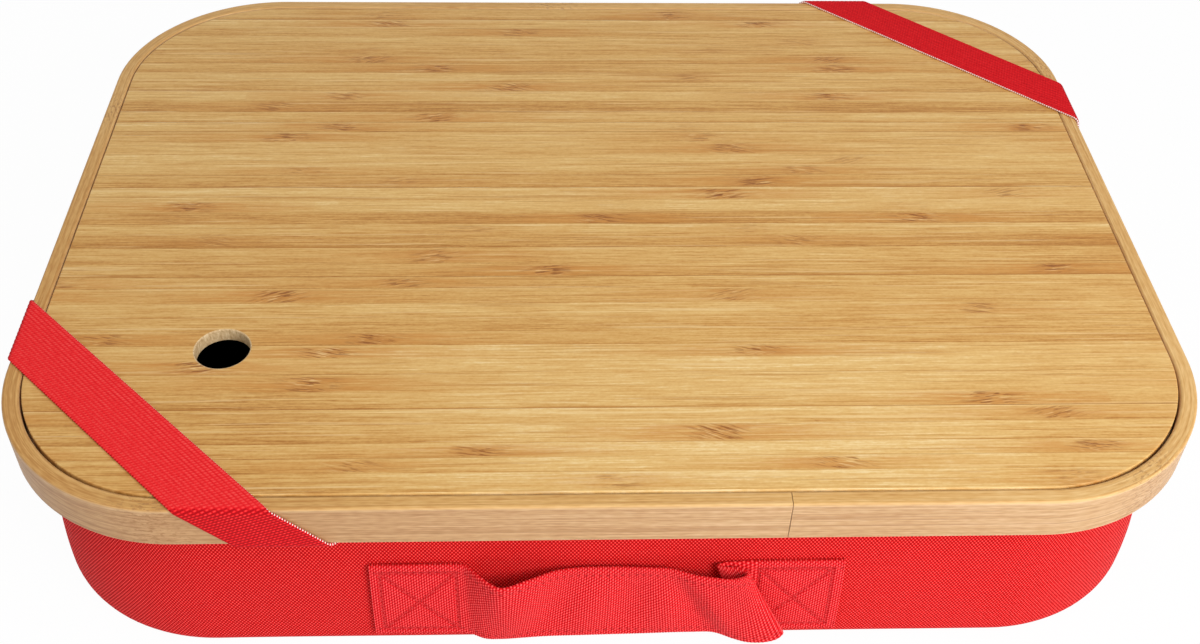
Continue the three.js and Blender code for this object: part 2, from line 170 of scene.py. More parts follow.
def roundedBox(low, high, radius, steps=5, guard=0.25):
    # profile of a rectangle (inset, z) with quarter-circle corners
    # a guard point on either side of a corner keeps the flats flat
    corners = [((low[0], high[1]), 90), (low, 180), ((high[0], low[1]), 270), (high, 0)]
    points = []
    for corner, angle in corners:
        middle = np.clip(corner, np.add(low, radius), np.subtract(high, radius))
        turn = np.radians(angle + 90 * np.arange(steps + 1) / steps)
        arc = middle + radius * lastAxis(np.cos(turn), np.sin(turn))
        tangent = lastAxis(-np.sin(turn), np.cos(turn))
        points += [arc[:1] - guard * tangent[:1], arc, arc[-1:] + guard * tangent[-1:]]
    return np.concatenate(points)


# Finishes

woodGloss = {"Specular IOR Level": 0.35}
clothGloss = {"Specular IOR Level": 0.15, "Sheen Weight": 0.03, "Sheen Roughness": 0.4}


def tint(red, green, blue):
    # screen colour, 0 to 255, to the linear colour that shaders take
    share = np.array([red, green, blue]) / 255
    linear = np.where(share <= 0.04045, share / 12.92, ((share + 0.055) / 1.055) ** 2.4)
    return (*linear.tolist(), 1.0)


class Nodes:
    # the nodes of a material or a sky, with short ways to add those that are used here
    def __init__(self, owner):
        owner.use_nodes = True
        self.owner, self.tree = owner, owner.node_tree

    def put(self, kind, sockets, **settings):
        node = self.tree.nodes.new(kind)
        for key, value in settings.items():
            setattr(node, key, value)
        for socket, value in sockets.items():
            self.feed(node.inputs[socket], value)
        return node

    def feed(self, socket, value):
        if isinstance(value, bpy.types.NodeSocket):
            self.tree.links.new(value, socket)
        else:
            socket.default_value = value

    def calc(self, operation, a, b=0.0, c=0.0):
        return self.put("ShaderNodeMath", {0: a, 1: b, 2: c}, operation=operation).outputs[0]


class Finish(Nodes):
    def __init__(self, name):
        super().__init__(bpy.data.materials.new(name))
        self.shader = self.tree.nodes["Principled BSDF"]

    # coordinates and marks of the mesh

    def place(self):
        return self.split(self.put("ShaderNodeTexCoord", {}).outputs["Object"])

    def flat(self):
        return self.split(self.put("ShaderNodeUVMap", {}, uv_map="flat").outputs["UV"])[:2]

    def mark(self):
        return self.put("ShaderNodeAttribute", {}, attribute_name="mark").outputs["Fac"]

    def split(self, vector):
        return self.put("ShaderNodeSeparateXYZ", {0: vector}).outputs[:3]

    def join(self, x, y, z):
        return self.put("ShaderNodeCombineXYZ", {0: x, 1: y, 2: z}).outputs[0]

    # sums

    def plus(self, a, b):
        return self.calc("ADD", a, b)

    def minus(self, a, b):
        return self.calc("SUBTRACT", a, b)

    def over(self, a, b):
        return self.calc("DIVIDE", a, b)

    def times(self, first, *others):
        for other in others:
            first = self.calc("MULTIPLY", first, other)
        return first

    def rest(self, value):
        return self.minus(1.0, value)

    def scaled(self, value, share, start):
        # value * share + start
        return self.calc("MULTIPLY_ADD", value, share, start)

    def total(self, start, *terms):
        # start + the sum of share * (value - 0.5)
        for value, share in terms:
            start = self.plus(start, self.scaled(value, share, -0.5 * share))
        return start

    def step(self, value, low, high):
        sockets = {"Value": value, "From Min": low, "From Max": high}
        return self.put("ShaderNodeMapRange", sockets, interpolation_type="SMOOTHSTEP").outputs[0]

    def bell(self, value, sharpness):
        # exp(-sharpness * value * value)
        return self.calc("EXPONENT", self.times(value, value, -sharpness))

    def wave(self, value, period):
        # sine of 2 pi value / period
        return self.calc("SINE", self.times(value, 2 * np.pi / period))

    # textures, colour and surface

    def noise(self, x, y, z=0.0, detail=2.0, rough=0.5):
        # each coordinate is a value, or a pair of a value and its scale
        x, y, z = (self.times(*part) if isinstance(part, tuple) else part for part in (x, y, z))
        sockets = {"Vector": self.join(x, y, z), "Scale": 1.0, "Detail": detail, "Roughness": rough}
        return self.put("ShaderNodeTexNoise", sockets).outputs["Fac"]

    def scatter(self, x, y):
        return self.put("ShaderNodeTexWhiteNoise", {"Vector": self.join(x, y, 0.5)}).outputs["Value"]

    def ramp(self, value, stops):
        node = self.put("ShaderNodeValToRGB", {0: value})
        band = node.color_ramp
        while len(band.elements) < len(stops):
            band.elements.new(0.5)
        for element, (place, colour) in zip(band.elements, stops):
            element.position, element.color = place, tint(*colour)
        return node.outputs["Color"]

    def mix(self, share, a, b):
        return self.put("ShaderNodeMix", {0: share, 6: a, 7: b}, data_type="RGBA").outputs[2]

    def paint(self, under, where, colour, share=1.0):
        return self.mix(self.times(where, share), under, tint(*colour))

    def bump(self, height, distance, strength):
        sockets = {"Height": height, "Distance": distance, "Strength": strength}
        self.feed(self.shader.inputs["Normal"], self.put("ShaderNodeBump", sockets).outputs[0])

    def done(self, colour, roughness, **constants):
        self.feed(self.shader.inputs["Base Color"], colour)
        self.feed(self.shader.inputs["Roughness"], roughness)
        for key, value in constants.items():
            self.shader.inputs[key].default_value = value
        return self.owner


# Board: strips of bamboo side by side, each with its own tone, fibres and now and then a node of the cane

board = dict(
    thickness=5.5, gap=0.5, edgeRound=0.5, edgeSteps=5, cornerEase=1, holeRadius=10, holeX=-140, holeY=-83.4,
    rings=(0.004, 0.25, 0.5, 0.75, 0.997),  # shares of the way from the hole to the outline
    strip=7.8, stripUneven=1.1, wander=1.4, nodeSpacing=170, nodeHalf=8, nodeSlant=0.4,
    # for each metre along and across a strip, then detail and roughness
    grain=dict(hair=(38, 1900, 2, 0.6), fine=(55, 950, 2, 0.6),
               fleck=(300, 1250, 1, 0.5), broad=(5, 260, 2, 0.5)),
    shares=dict(tone=0.34, hair=1.05, fine=0.4, fleck=0.36, pores=0.24, broad=0.26, slow=0.3, across=0.12),
    edgeShare=0.3,
    tones=[(0.05, (172, 114, 46)), (0.3, (201, 148, 77)), (0.5, (215, 168, 97)),
           (0.75, (228, 188, 119)), (0.98, (241, 212, 155))],
    # colour and strength of what lies over the fibres
    joint=((160, 103, 44), 0.75), darkLine=((178, 118, 48), 0.42), paleLine=((244, 214, 156), 0.4),
    stain=((200, 134, 58), 0.8), smudge=((186, 124, 56), 0.75),
    darkFibre=((138, 80, 28), 1.0), paleFibre=((242, 210, 150), 0.7),
)


def boardFinish():
    f = Finish("bambooStrips")
    x, y = f.place()[:2]
    wander = f.noise((x, 9), (y, 60))
    fibreY = f.scaled(f.minus(wander, 0.5), board["wander"] * mm, y)
    uneven = f.noise((y, 40), 0.0, 3.7, 1)
    row = f.scaled(uneven, board["stripUneven"], f.over(y, board["strip"] * mm))
    strip, across = f.calc("FLOOR", row), f.calc("FRACT", row)
    tone, line = f.scatter(strip, 2.0), f.scatter(strip, 11.0)
    # fibres: hairs, fine streaks, short flecks, broader bands and pores, drawn out along the strip
    shift = f.times(strip, 5.3)
    layers = dict(tone=tone, across=across)
    for name, (alongScale, acrossScale, detail, rough) in board["grain"].items():
        layers[name] = f.noise((x, alongScale), (fibreY, acrossScale), shift, detail, rough)
    layers["pores"] = f.noise((x, 800), (y, 1500), shift, 1)
    slow = layers["slow"] = f.noise((x, 7), shift, 1.0, 1)
    fine = layers["fine"]
    # each strip is browner along its near edge, some more than others
    edge = f.times(f.calc("EXPONENT", f.times(across, -7.0)), line)
    # painted light: the strips nearest the front are painted paler, most of all in the middle and less on the
    # right, as a pool of light on the near part of the board
    right = f.scaled(f.step(x, 0.1, 0.16), -0.16, 0.07)
    paintedFrontLight = f.times(f.step(y, -0.05, -0.14), f.scaled(f.step(x, -0.13, -0.02), 0.33, right))
    index = f.total(f.plus(paintedFrontLight, 0.5), *((layers[name], share) for name, share in board["shares"].items()))
    colour = f.ramp(f.minus(index, f.times(edge, board["edgeShare"])), board["tones"])
    # joint between two strips: a thin darker line, not equally strong everywhere
    joint = f.times(f.rest(f.step(across, 0.03, 0.075)), f.step(line, 0.4, 0.95), f.step(slow, 0.3, 0.55))
    colour = f.paint(colour, joint, *board["joint"])
    # long thin lines with crisp edges, dark and pale
    split = f.noise((x, 10), (fibreY, 700), f.plus(shift, 3.0), 2, 0.6)
    colour = f.paint(colour, f.step(split, 0.6, 0.65), *board["darkLine"])
    colour = f.paint(colour, f.rest(f.step(split, 0.34, 0.39)), *board["paleLine"])
    # nodes of the cane: one place in each length of a strip, at which the fibres break up and go brown
    spacing = board["nodeSpacing"]
    cellPlace = f.plus(f.over(x, spacing * mm), f.times(line, 7.1))
    cell = f.calc("FLOOR", cellPlace)
    nodeAt = f.scaled(f.scatter(strip, cell), 0.5, 0.25)
    shown = f.step(f.scatter(f.plus(strip, 31.5), cell), 0.12, 0.85)
    away = f.times(f.minus(f.calc("FRACT", cellPlace), nodeAt), spacing / board["nodeHalf"])
    inside = f.times(f.step(across, 0.02, 0.2), f.rest(f.step(across, 0.75, 1.0)))
    stain = f.times(f.bell(away, 0.035), inside, shown, f.step(fine, 0.3, 0.6))
    colour = f.paint(colour, stain, *board["stain"])
    # a brown smudge with thin slanted lines, dark and pale
    here = f.times(f.bell(away, 0.9), inside, shown)
    smudge = f.noise((x, 110), (y, 420), shift)
    colour = f.paint(colour, f.times(f.step(smudge, 0.3, 0.6), here), *board["smudge"])
    lean = f.scaled(f.scatter(strip, 5.0), 2 * board["nodeSlant"], -board["nodeSlant"])
    broken = f.noise((x, 130), (f.scaled(x, lean, y), 1300), shift, 2, 0.6)
    colour = f.paint(colour, f.times(f.step(broken, 0.53, 0.6), here), *board["darkFibre"])
    colour = f.paint(colour, f.times(f.rest(f.step(broken, 0.3, 0.42)), here), *board["paleFibre"])
    f.bump(f.minus(fine, f.times(joint, 0.8)), 0.00006, 0.6)
    return f.done(colour, f.scaled(fine, 0.16, 0.42), **woodGloss)


def cutEdgeFinish():
    # sawn ends of the fibres: pale and dotted
    f = Finish("bambooCutEdge")
    x, y, z = f.place()
    dots = f.noise((x, 1400), (y, 1400), (z, 500), 2, 0.6)
    f.bump(dots, 0.0001, 0.5)
    return f.done(f.ramp(dots, [(0.3, (184, 148, 102)), (0.55, (216, 186, 140)), (0.8, (236, 212, 172))]), 0.7)


def makeBoard():
    # outline and hole are joined by straight lines from the hole's middle, on the top and on the underside
    inset = rim["width"] + board["gap"]
    radius = desk["cornerRadius"] + board["cornerEase"]
    middle, out = (part[:-1] for part in planPath(radius)[:2])
    top, low = desk["height"], desk["height"] - board["thickness"]
    hole = np.array([board["holeX"], board["holeY"]])
    edge = middle + out * (radius - inset)
    ray = unit(edge - hole)
    # rounded arrises as (inset, z): up through the hole, and down the outline
    bend = np.linspace(0, np.pi / 2, board["edgeSteps"])
    rising, falling = board["edgeRound"] * (1 - np.cos(bend)), board["edgeRound"] * (1 - np.sin(bend))
    holeProfile = np.concatenate([lastAxis(rising, low + falling)[::-1], lastAxis(rising, top - falling)])
    edgeProfile = np.concatenate([lastAxis(falling, top - rising), lastAxis(falling, low + rising)[::-1]])
    holeRows = hole + ray[None] * (board["holeRadius"] + holeProfile[:, 0])[:, None, None]
    edgeRows = edge[None] - out[None] * edgeProfile[:, 0][:, None, None]
    share = np.array(board["rings"])[:, None, None]
    topRows = between(holeRows[-1], edgeRows[0], share)
    lowRows = between(holeRows[0], edgeRows[-1], share)[::-1]
    rows = np.concatenate([holeRows, topRows, edgeRows, lowRows])
    z = np.concatenate([holeProfile[:, 1], np.full(len(topRows), top),
                        edgeProfile[:, 1], np.full(len(lowRows), low)])
    points = lastAxis(rows[..., 0], rows[..., 1], z[:, None])
    isCut = (np.arange(len(rows)) < len(holeRows) - 1).astype(int)
    uv = np.zeros((1, len(rows) + 1, points.shape[1] + 1, 2))
    piece = gridPiece("lidBoard", points[None], uv, [boardFinish(), cutEdgeFinish()],
                      loopAlong=True, capped=False, rowFinish=isCut)
    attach(piece, "lid")
    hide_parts("lid_board")


# Rim: one strip of bamboo bent round the plan, open at the butt joint, with the ledge inside it

rim = dict(
    width=6, height=18, round=1, jointX=59.6, jointGap=0.2, nodeAt=-2, nodeSpacing=260, nodeHalf=13,
    faceTones=[(0.15, (172, 126, 82)), (0.5, (199, 157, 110)), (0.85, (219, 184, 142))],
    topTones=[(0.15, (184, 130, 64)), (0.5, (212, 164, 96)), (0.85, (230, 190, 128))],
    growthLine=(160, 110, 66), nodeFleck=((150, 100, 54), 0.6),
    # painted highlight along the arrises of the face: its colour, then its strength at the lower and at the
    # upper arris
    paintedHighlight=(240, 212, 172), paintedHighlightLow=0.4, paintedHighlightTop=0.24,
)
ledge = dict(width=18, gap=0.3, round=0.4, roundSteps=3)
rimLow = desk["height"] - rim["height"]


def rimFinish():
    f = Finish("bentBamboo")
    along, across = f.flat()
    z = f.place()[2]
    top = desk["height"]
    hair = f.noise((along, 18), (across, 1700), 0.0, 3, 0.65)
    fine = f.noise((along, 5), (across, 900), 4.0)
    slow = f.noise((along, 9), 0.0, 8.0, 1)
    fleck = f.noise((along, 190), (across, 1150), 2.0, 1)
    # the strip is paler where it starts, right of the joint, and browner round the front left corner
    start = f.rest(f.step(along, 0.2, 0.5))
    corner = f.minus(f.step(along, 0.85, 1.0), f.step(along, 1.2, 1.3))
    tone = f.scaled(corner, -0.16, f.scaled(start, 0.08, 0.5))
    index = f.total(tone, (hair, 1.0), (fine, 0.7), (fleck, 0.6), (slow, 0.4))
    # the top shows the golden inside of the cane, the face its pinker outside
    onTop = f.step(z, (top - 1.2) * mm, (top - 0.3) * mm)
    colour = f.mix(onTop, f.ramp(index, rim["faceTones"]), f.ramp(index, rim["topTones"]))
    # growth lines: where a drawn-out noise crosses its middle
    ring = f.noise((along, 2.2), (across, 420), 9.0, 1)
    away = f.calc("ABSOLUTE", f.minus(ring, 0.5))
    line = f.times(f.rest(f.step(away, 0.004, 0.022)), f.step(hair, 0.3, 0.6), f.scaled(onTop, -0.35, 0.55))
    colour = f.paint(colour, line, rim["growthLine"])
    # nodes of the cane: the fibres break up into brown flecks
    cell = f.calc("FRACT", f.over(f.minus(along, rim["nodeAt"] * mm), rim["nodeSpacing"] * mm))
    off = f.times(f.minus(cell, 0.5), rim["nodeSpacing"] / rim["nodeHalf"])
    broken = f.noise((along, 420), (across, 1000), 6.0, 2, 0.6)
    colour = f.paint(colour, f.times(f.bell(off, 1.0), f.step(broken, 0.5, 0.62)), *rim["nodeFleck"])
    # painted highlight: paler along both arrises of the face, where the rounded edges catch the light
    lower = f.rest(f.step(z, (rimLow + 0.2) * mm, (rimLow + 1.2) * mm))
    upper = f.bell(f.over(f.minus(z, (top - 0.8) * mm), 0.5 * mm), 1.0)
    paintedHighlight = f.calc("MAXIMUM", f.times(lower, rim["paintedHighlightLow"]), f.times(upper, rim["paintedHighlightTop"]))
    colour = f.paint(colour, paintedHighlight, rim["paintedHighlight"])
    f.bump(hair, 0.00005, 0.5)
    return f.done(colour, f.scaled(hair, 0.16, 0.42), **woodGloss)


def makeRim(finish):
    path = planPath(desk["cornerRadius"], rim["jointX"], rim["jointGap"])
    profile = roundedBox((0, rimLow), (rim["width"], desk["height"]), rim["round"])
    points = carried(path, desk["cornerRadius"], profile)
    piece = gridPiece("rimBand", points[None], pathUv(path[2], closedLength(profile)), [finish])
    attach(piece, "base")
    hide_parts("rim_band")


def makeLedge(finish):
    path = planPath(desk["cornerRadius"], rim["jointX"])
    inset = rim["width"] + ledge["gap"]
    top = desk["height"] - board["thickness"] - ledge["gap"]
    profile = roundedBox((inset, rimLow), (inset + ledge["width"], top), ledge["round"], ledge["roundSteps"])
    points = carried(path, desk["cornerRadius"], profile)[:-1]
    piece = gridPiece("ledgeRing", points[None], pathUv(path[2], closedLength(profile)), [finish],
                      loopAlong=True, capped=False)
    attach(piece, "base")
    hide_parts("ledge_ring")


# Tub: foam faced with red cloth, drawn in under the rim and swelling to a rounded foot, lined in black

tub = dict(
    topInset=12, bellyInset=4.5, footReach=11, footHeight=7, cornerEase=5, wall=6, flange=2.5,
    flangeRound=1.5, flangeSteps=6, topZ=65.7, ledgeInner=24.3, innerSteps=(6, 10),
    lining=0.8, liningInset=6.3, liningFloor=8.6, liningTop=62.9, liningSteps=(8, 14), liningThread=1.1,
    warp=1.34, weft=1.67,
    swells=((0.35, 31, 1.3, 0), (0.25, 17, 0, 4)),  # reach, length, shift, and turn from foot to top
    tones=[(0.1, (170, 0, 2)), (0.45, (213, 0, 5)), (0.75, (237, 22, 26)), (1.0, (255, 92, 90))],
)


def wallInset(z):
    # the wall swells as a quarter sine from the rim down to the foot
    drop = np.clip((tub["topZ"] - z) / (tub["topZ"] - tub["footHeight"]), 0, 1)
    return tub["topInset"] + (tub["bellyInset"] - tub["topInset"]) * np.sin(drop * np.pi / 2)


def trayProfile(depth, floorZ, topZ, footSteps=12, wallSteps=26):
    # (inset, z) from the floor out over the foot, a quarter ellipse, and up the wall
    turn = np.linspace(np.pi / 2, 0, footSteps, endpoint=False)
    footZ = floorZ + tub["footHeight"]
    foot = lastAxis(wallInset(footZ) + depth + tub["footReach"] * (1 - np.cos(turn)),
                    floorZ + tub["footHeight"] * (1 - np.sin(turn)))
    z = np.linspace(footZ, topZ, wallSteps)
    return np.concatenate([foot, lastAxis(wallInset(z) + depth, z)])


def clothFinish(girth):
    # plain weave; a whole number of threads goes round the tub, so the weave closes on itself
    f = Finish("redPlainWeave")
    along, across = f.flat()
    uneven = f.noise((along, 420), (across, 420))
    warp = f.wave(along, girth / round(girth / tub["warp"]) * mm)
    weft = f.wave(across, tub["weft"] * mm)
    crossing = f.times(warp, weft)  # one thread family on top where both waves agree
    # painted light: where one thread family lies on top it is painted as bright highlight dots, darker where the
    # other does
    lit = f.total(f.scaled(crossing, 0.8, 0.45), (uneven, 0.16))
    f.bump(lit, 0.00022, 0.55)
    return f.done(f.ramp(lit, tub["tones"]), 0.85, **clothGloss)


def liningFinish():
    f = Finish("blackLining")
    x, y, z = f.place()
    thread = tub["liningThread"] * mm
    crossing = f.times(f.wave(x, thread), f.wave(f.plus(y, z), thread))
    uneven = f.noise((x, 120), (y, 120), (z, 120))
    colour = f.ramp(f.scaled(crossing, 0.25, uneven), [(0.2, (10, 10, 11)), (0.9, (30, 30, 32))])
    f.bump(crossing, 0.0001, 0.4)
    return f.done(colour, 0.9, **{"Specular IOR Level": 0.15})


def makeTub():
    radius = desk["cornerRadius"] + tub["cornerEase"]
    path = planPath(radius)
    roll = np.linspace(0, np.pi / 2, tub["flangeSteps"])[1:]
    shoulder = lastAxis(tub["topInset"] + tub["flangeRound"] * (1 - np.cos(roll)),
                        tub["topZ"] - tub["flangeRound"] * (1 - np.sin(roll)))
    flangeLow = tub["topZ"] - tub["flange"]
    flange = lastAxis(tub["ledgeInner"], [tub["topZ"], flangeLow])
    outer = trayProfile(0, 0, tub["topZ"] - tub["flangeRound"])
    inner = trayProfile(tub["wall"], tub["wall"], flangeLow, *tub["innerSteps"])[::-1]
    profile = np.concatenate([outer, shoulder, flange, inner])
    points = carried(path, radius, profile)[:-1]
    # soft foam isn't quite even: the outer wall swells in and out a little, but not at the top and foot
    along = path[2][:-1, None]
    up = profile[None, :, 1] / tub["topZ"]
    swell = sum(reach * np.sin(along / length + shift + turn * up)
                for reach, length, shift, turn in tub["swells"]) * np.sin(np.pi * up)
    swell = np.where(np.arange(len(profile))[None] < len(outer), swell, 0)
    points[..., :2] += path[1][:-1, None] * swell[..., None]
    grid = points.transpose(1, 0, 2)[None]
    uv = pathUv(lengthAlong(profile), path[2])[..., ::-1]
    piece = gridPiece("tubShell", grid, uv, [clothFinish(float(path[2][-1]))])
    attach(piece, "base")
    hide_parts("tub_shell")


def makeLining():
    radius = desk["cornerRadius"] + tub["cornerEase"]
    path = planPath(radius)
    thick, inset, floor, top = tub["lining"], tub["liningInset"], tub["liningFloor"], tub["liningTop"]
    outer = trayProfile(inset, floor, top, *tub["liningSteps"])
    lip = lastAxis(tub["ledgeInner"], [top, top - thick])
    inner = trayProfile(inset + thick, floor + thick, top - thick, *tub["liningSteps"])[::-1]
    profile = np.concatenate([outer, lip, inner])
    grid = carried(path, radius, profile)[:-1].transpose(1, 0, 2)[None]
    uv = pathUv(lengthAlong(profile), path[2])[..., ::-1]
    piece = gridPiece("tubLining", grid, uv, [liningFinish()])
    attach(piece, "base")
    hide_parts("tub_lining")


# Straps: ribbed elastic that lies across a corner, folds down over the rim's faces and tucks in under it

strap = dict(
    thickness=1, gap=0.3, tuck=10.5, bendSteps=9, faceSteps=14, topSteps=40, underSteps=9,
    ribs=15, ribSteps=6, ribHeight=0.16, ribPower=0.7, edgeFade=0.8, edgeThin=0.35, edgeBulge=0.12,
    twill=1.3, coreDot=1.05, coreFrom=1.2, coreTo=1.05, markStart=0.05, markReach=0.5, paintedFaceShade=0.38,
    tones=[(0.1, (168, 2, 14)), (0.35, (214, 14, 26)), (0.6, (242, 40, 44)), (0.95, (255, 100, 94))],
    core=(250, 232, 228),
)
strapCorners = dict(
    frontStrap=dict(node="front_strap", width=22.4, landX=18.2, landY=18.2, turn=1, lit=0.6, dotFrom=0.1),
    rearStrap=dict(node="rear_strap", width=20.5, landX=26.6, landY=18.2, turn=-1, lit=0.34, dotFrom=-0.8),
)


def wrapPath():
    # one side of a strap as rows of (out, z, normal out, normal z, flat distance past the fold)
    bend = rim["round"] + strap["gap"] + strap["thickness"] / 2
    turn = np.linspace(0, np.pi / 2, strap["bendSteps"])
    sine, cosine = np.sin(turn), np.cos(turn)
    lowZ, highZ = rimLow + rim["round"], desk["height"] - rim["round"]
    flat = bend * turn - rim["round"]
    over = lastAxis(bend * sine - rim["round"], highZ + bend * cosine, sine, cosine, flat)
    under = lastAxis(bend * cosine - rim["round"], lowZ - bend * sine, cosine, -sine,
                     flat + bend * np.pi / 2 + highZ - lowZ)
    share = np.linspace(0, 1, strap["faceSteps"])[1:-1, None]
    tucked = strap["tuck"] - rim["round"]
    end = under[-1] + np.array([-tucked, 0, 0, 0, tucked])
    return np.concatenate([over, between(over[-1], under[0], share), under, (under[-1:] + end) / 2, end[None]])


def ribbedSection(width):
    # closed section of (offset to the corner, height): |sin| ribs on top, plain underneath, round edges
    half, thick = width / 2, strap["thickness"] / 2
    offset = np.linspace(-half, half, strap["ribs"] * strap["ribSteps"] + 1)
    rib = np.abs(np.sin(np.pi * strap["ribs"] * (offset + half) / width)) ** strap["ribPower"]
    toEdge = np.clip((np.abs(offset) - half + strap["edgeFade"]) / strap["edgeFade"], 0, 1)
    height = (thick - strap["ribHeight"] * (1 - rib)) * (1 - strap["edgeThin"] * toEdge ** 2)
    side = lastAxis(half + strap["edgeBulge"], [0.25 * thick, -0.5 * thick])
    under = lastAxis(np.linspace(half, -half, strap["underSteps"]), -thick)
    return np.concatenate([lastAxis(offset, height), side, under, side[::-1] * [-1, 1]])


def elasticFinish(name, corner, girth):
    # ribs along the strap with a fine twill over them
    # the marks are 1 where the strap runs down a face of the rim
    f = Finish(name)
    along, across = f.flat()
    onFace = f.mark()
    rib = f.over(across, corner["width"] / strap["ribs"] * mm)
    crown = f.calc("ABSOLUTE", f.calc("SINE", f.times(rib, np.pi)))
    twill = f.wave(f.scaled(rib, 0.5, f.over(along, strap["twill"] * mm)), 1)
    fuzz = f.noise((along, 700), (across, 700))
    # the dashes are stronger on the face: partly the elastic opened up over the fold, partly painted light
    dashes = f.times(twill, crown, f.scaled(onFace, 0.3, 0.12))
    # painted shade: darker in the grooves between the ribs, by a patchy amount
    patchy = f.noise((along, 160), (across, 300), 5.0, 1)
    ribbed = f.times(f.minus(crown, 0.5), f.scaled(patchy, 0.5, -0.12))
    lit = f.total(f.plus(f.plus(dashes, corner["lit"]), ribbed), (fuzz, 0.3))
    # painted shade: the run down the rim's face is painted darker, as it is turned from the light
    lit = f.minus(lit, f.times(onFace, strap["paintedFaceShade"]))
    colour = f.ramp(lit, strap["tones"])
    # pale rubber core, cut open along the edge that faces the middle of the board
    core = f.step(across, (girth - strap["coreFrom"]) * mm, (girth - strap["coreTo"]) * mm)
    dots = f.step(f.wave(along, strap["coreDot"] * mm), corner["dotFrom"], corner["dotFrom"] + 0.5)
    colour = f.paint(colour, f.times(core, dots), strap["core"])
    f.bump(lit, 0.00015, 0.35)
    return f.done(colour, 0.8, **clothGloss)


def makeStrap(name, corner):
    # unfolded, the strap is a straight band; at a fold line it turns down the rim's face and keeps its slant
    section = ribbedSection(corner["width"])
    girth = closedLength(section)
    reachX, reachY = desk["cornerRadius"] + corner["landX"], desk["cornerRadius"] + corner["landY"]
    length = np.hypot(reachX, reachY)
    out, z, normalOut, normalZ, flat = wrapPath().T[..., None]
    offset, height = section.T[:, None]
    sides = []
    for here, there, onFront in ((reachY, reachX, False), (reachX, reachY, True)):
        along = here + (flat * here - offset * length) / there
        reach = out + normalOut * height
        level = z + normalZ * height
        x = -desk["width"] / 2 + (along if onFront else -reach)
        y = -desk["depth"] / 2 + (-reach if onFront else along)
        unfoldedX, unfoldedY = (along, -flat) if onFront else (-flat, along)
        run = (unfoldedX * reachX - (unfoldedY - reachY) * reachY) / length
        sides.append(lastAxis(x, y, level, run))
    left, front = sides
    share = np.linspace(0, 1, strap["topSteps"])[1:-1, None, None]
    rows = np.concatenate([left[::-1], between(left[0], front[0], share), front])
    points, run = rows[..., :3], rows[..., 3]
    points[..., :2] *= corner["turn"]
    run = np.concatenate([run, run[:, :1]], 1)
    uv = lastAxis(run, girth)[None]
    markZ = desk["height"] + strap["gap"] + strap["thickness"] - strap["markStart"]
    onFace = np.clip((markZ - points[..., 2]) / strap["markReach"], 0, 1)
    finish = elasticFinish(name + "Elastic", corner, float(girth[-1]))
    piece = gridPiece(name, points[None], uv, [finish], marks=onFace)
    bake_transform(piece)
    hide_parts(corner["node"])


# Handle: one webbing, sewn flat to the front wall at both ends, with a slack loop that folds back on itself

handle = dict(
    width=35, thickness=1.5, topZ=44.4, span=106, middleX=-0.6, patch=31, depth=10, gap=0.3,
    step=0.33, across=44, spanSteps=60, patchSteps=40,
    # soft waves: where they start and end along the slack, their fades, reach, length, slant and shift
    waveFrom=14, waveTo=92, fadeIn=10, fadeOut=14, waveReach=1.1, waveLength=27, waveSlant=0.35, waveShift=0.6,
    # hollow before the fold: its place and slant as shares of the span
    hollowAt=0.24, hollowSlant=0.17, hollowWidth=5, hollowReach=2.4, hollowAtEdge=0.4,
    edgeWidth=0.9, edgeThin=0.75, selvage=0.95, scallopWidth=0.7, scallop=0.28, backShare=2.2,
    # sewing: a box set in from the edges of each sewn end
    boxTop=3.2, boxLow=2.8, leftBox=(3.4, 0.8), rightBox=(0.8, 4), seamWidth=0.6, seamPull=0.45,
    stitch=2.7, stitchFrom=0.1, stitchTo=0.88, stitchSteps=7, stitchSides=6, stitchSunk=0.62, stitchRise=0.3,
    stitchRadius=0.24, pressFade=4, pressDepth=0.22, dotAlong=0.92, dotAcross=1.36, seam=3,
    tones=[(0.08, (176, 0, 10)), (0.42, (222, 15, 26)), (0.7, (242, 42, 48)), (0.98, (255, 106, 106))],
    # the two dark colours of the sewing are painted shade in the grooves it draws in
    paintedSeamShade=(150, 0, 8), seamStitch=(240, 60, 64), sewn=((170, 0, 10), 0.7),
)
# stations of the two edges: along as a share of the span, then stand-off and rise as shares of the depth
slackUpper = [(0.028, 0.17, 0), (0.076, 0.66, 0), (0.1414, 1.12, -0.04), (0.239, 0.79, -0.02),
              (0.339, 0.42, 0.02), (0.539, 0.32, 0.03), (0.738, 0.52, 0), (0.836, 0.76, -0.02),
              (0.896, 0.87, -0.02), (0.935, 0.85, 0.03), (0.953, 0.79, 0.07), (0.959, 0.7, 0.1),
              (0.953, 0.58, 0.1), (0.922, 0.42, 0.04), (0.884, 0.35, 0.01), (0.866, 0.25, 0), (0.888, 0.15, 0)]
slackLower = [(0.035, 0.18, 0), (0.087, 0.4, 0), (0.14, 0.43, 0.02), (0.201, 0.4, 0.02), (0.315, 0.34, 0.03),
              (0.537, 0.31, 0.04), (0.774, 0.26, 0.04), (0.87, 0.33, 0.03), (0.935, 0.5, 0.03),
              (0.995, 0.72, 0.05), (1.05, 0.79, 0.12), (1.088, 0.73, 0.23), (1.104, 0.6, 0.33),
              (1.08, 0.47, 0.33), (1.02, 0.41, 0.2), (0.965, 0.29, 0.05), (0.975, 0.15, 0)]
loopLeft, loopRight = handle["middleX"] - handle["span"] / 2, handle["middleX"] + handle["span"] / 2


def offWall(x, away, z):
    # points that stand off from the tub's front wall
    return lastAxis(x, -desk["depth"] / 2 + wallInset(z) - away, z)


